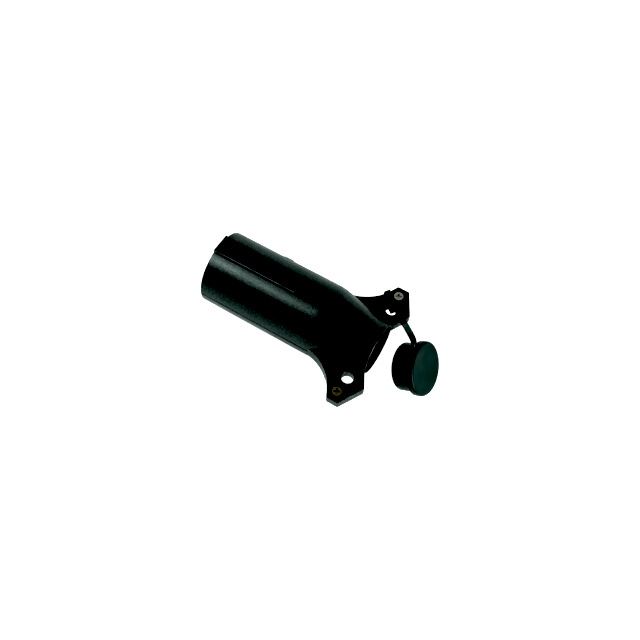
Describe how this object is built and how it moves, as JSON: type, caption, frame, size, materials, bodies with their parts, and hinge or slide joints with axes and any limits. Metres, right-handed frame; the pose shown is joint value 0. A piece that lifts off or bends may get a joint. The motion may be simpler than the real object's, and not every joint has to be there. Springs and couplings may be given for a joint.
{
  "type": "trailer wiring connector adapter",
  "caption": "Straight trailer-light adapter: keyed blade plug barrel, necked round pin socket, winged split housing and a tethered rubber dust plug.",
  "frame": {"origin": "centre of the plug barrel's mating face, on the barrel's axis", "axes": "+X along the barrel from the mating face to the socket mouth, +Z square to the ears with the key on top, +Y towards the ear that carries the tether"},
  "size_m": [0.1442, 0.085, 0.0468],
  "materials": {
    "housing_plastic": "satin moulded black",
    "insert_plastic": "matte moulded charcoal",
    "screw_steel": "nickel plated, slightly tarnished",
    "contact_brass": "stamped strip",
    "pin_brass": "turned",
    "wire_white": "extruded insulation",
    "wire_brown": "extruded insulation",
    "wire_yellow": "extruded insulation",
    "wire_green": "extruded insulation",
    "tether_rubber": "smooth moulded",
    "plug_rubber": "matte moulded"
  },
  "bodies": {
    "housing": {"upper_shell": "housing_plastic", "lower_shell": "housing_plastic", "shell_screws": "screw_steel", "blade_carrier": "insert_plastic", "centre_contact": "contact_brass", "blade_contact_1": "contact_brass", "blade_contact_2": "contact_brass", "blade_contact_3": "contact_brass", "blade_contact_4": "contact_brass", "blade_contact_5": "contact_brass", "blade_contact_6": "contact_brass", "pin_carrier": "insert_plastic", "socket_pin_1": "pin_brass", "socket_pin_2": "pin_brass", "socket_pin_3": "pin_brass", "socket_pin_4": "pin_brass", "wire_ground": "wire_white", "wire_tail_lights": "wire_brown", "wire_left_turn": "wire_yellow", "wire_right_turn": "wire_green", "tether_loop": "tether_rubber"},
    "tether_near": {"tether_inner": "tether_rubber"},
    "tether_far": {"tether_outer": "tether_rubber"},
    "plug": {"dust_plug": "plug_rubber"}
  },
  "joints": [
    {"name": "strap_lift", "type": "hinge", "parent": "housing", "child": "tether_near", "pos_m": [0.10419, 0.02752, 0.00385], "axis": [-0.6074, -0.7944, 0], "range_deg": [0, 100]},
    {"name": "strap_bend", "type": "hinge", "parent": "tether_near", "child": "tether_far", "pos_m": [0.11758, 0.01545, 0.0084], "axis": [-0.6934, -0.7084, -0.1319], "range_deg": [-25, 75]},
    {"name": "plug_flex", "type": "hinge", "parent": "tether_far", "child": "plug", "pos_m": [0.12497, 0.00827, 0.01023], "axis": [-0.0528, -0.9738, 0.2214], "range_deg": [-20, 75]}
  ]
}
